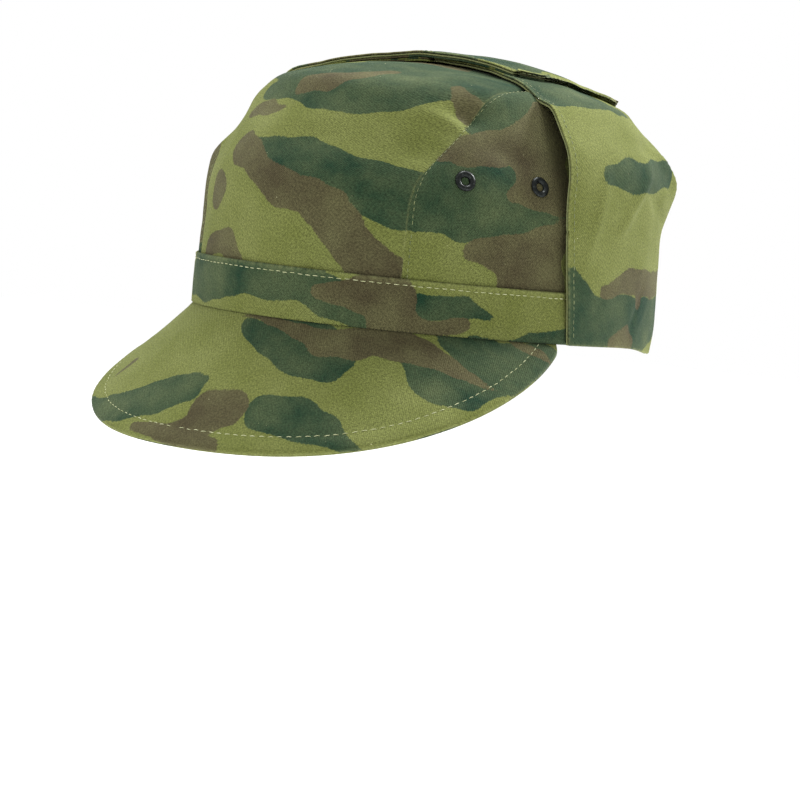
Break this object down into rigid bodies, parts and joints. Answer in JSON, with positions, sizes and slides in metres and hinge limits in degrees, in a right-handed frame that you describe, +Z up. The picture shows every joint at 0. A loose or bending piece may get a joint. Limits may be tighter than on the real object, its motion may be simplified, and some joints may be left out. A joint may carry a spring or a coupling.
{
  "type": "field cap with folding ear flaps",
  "caption": "Peaked cotton field cap with a sloping visor and an ear and neck flap folded up over the crown, in woodland camouflage.",
  "frame": {"origin": "centre of the head opening, in the plane of the headband's lower edge", "axes": "+Z up through the crown, -Y forward over the visor, +X towards the wearer's left"},
  "size_m": [0.1876, 0.2526, 0.165],
  "materials": {
    "camouflage_cotton": "matt cotton twill, printed in three colours",
    "lining_cotton": "matt plain-weave cotton",
    "sweatband_cotton": "matt cotton tape",
    "label_cotton": "matt woven label",
    "visor_board": "stiff board",
    "dark_metal": "satin",
    "closure_strip": "hook and loop tape"
  },
  "bodies": {
    "crown": {"crown_center_strip": "camouflage_cotton", "side_panel_left": "camouflage_cotton", "side_panel_right": "camouflage_cotton", "crown_lining": "lining_cotton", "headband": "camouflage_cotton", "sweatband": "sweatband_cotton", "size_label": "label_cotton", "visor_top_cover": "camouflage_cotton", "visor_board": "visor_board", "visor_under_cover": "camouflage_cotton", "eyelet_left_front": "dark_metal", "eyelet_left_rear": "dark_metal", "eyelet_right_front": "dark_metal", "eyelet_right_rear": "dark_metal", "eyelet_washer_left_front": "dark_metal", "eyelet_washer_left_rear": "dark_metal", "eyelet_washer_right_front": "dark_metal", "eyelet_washer_right_rear": "dark_metal"},
    "left_flap": {"left_flap_lining": "camouflage_cotton", "left_flap_outer": "camouflage_cotton"},
    "left_tip": {"left_tip_lining": "camouflage_cotton", "left_tip_outer": "camouflage_cotton", "loop_strip": "closure_strip"},
    "right_flap": {"right_flap_lining": "camouflage_cotton", "right_flap_outer": "camouflage_cotton"},
    "right_tip": {"right_tip_lining": "camouflage_cotton", "right_tip_outer": "camouflage_cotton", "hook_strip": "closure_strip"},
    "neck_flap": {"neck_flap_lining": "camouflage_cotton", "neck_flap_outer": "camouflage_cotton"}
  },
  "joints": [
    {"name": "right_flap_fold", "type": "hinge", "parent": "crown", "child": "right_flap", "pos_m": [-0.08508, 0.03097, 0], "axis": [-0.342, -0.9397, 0], "range_deg": [0, 165]},
    {"name": "left_flap_fold", "type": "hinge", "parent": "crown", "child": "left_flap", "pos_m": [0.08508, 0.03097, 0], "axis": [-0.342, 0.9397, 0], "range_deg": [0, 165]},
    {"name": "neck_flap_fold", "type": "hinge", "parent": "crown", "child": "neck_flap", "pos_m": [0, 0.10784, 0], "axis": [-1, 0, 0], "range_deg": [0, 165]},
    {"name": "right_tip_fold", "type": "hinge", "parent": "right_flap", "child": "right_tip", "pos_m": [-0.0747, 0, 0.0928], "axis": [0, -1, 0], "range_deg": [0, 80]},
    {"name": "left_tip_fold", "type": "hinge", "parent": "left_flap", "child": "left_tip", "pos_m": [0.0747, 0, 0.089], "axis": [0, 1, 0], "range_deg": [0, 80]}
  ],
  "couplings": [
    {"joint": "left_flap_fold", "follows": "right_flap_fold", "ratio": 1},
    {"joint": "neck_flap_fold", "follows": "right_flap_fold", "ratio": 1},
    {"joint": "left_tip_fold", "follows": "right_tip_fold", "ratio": 1}
  ]
}
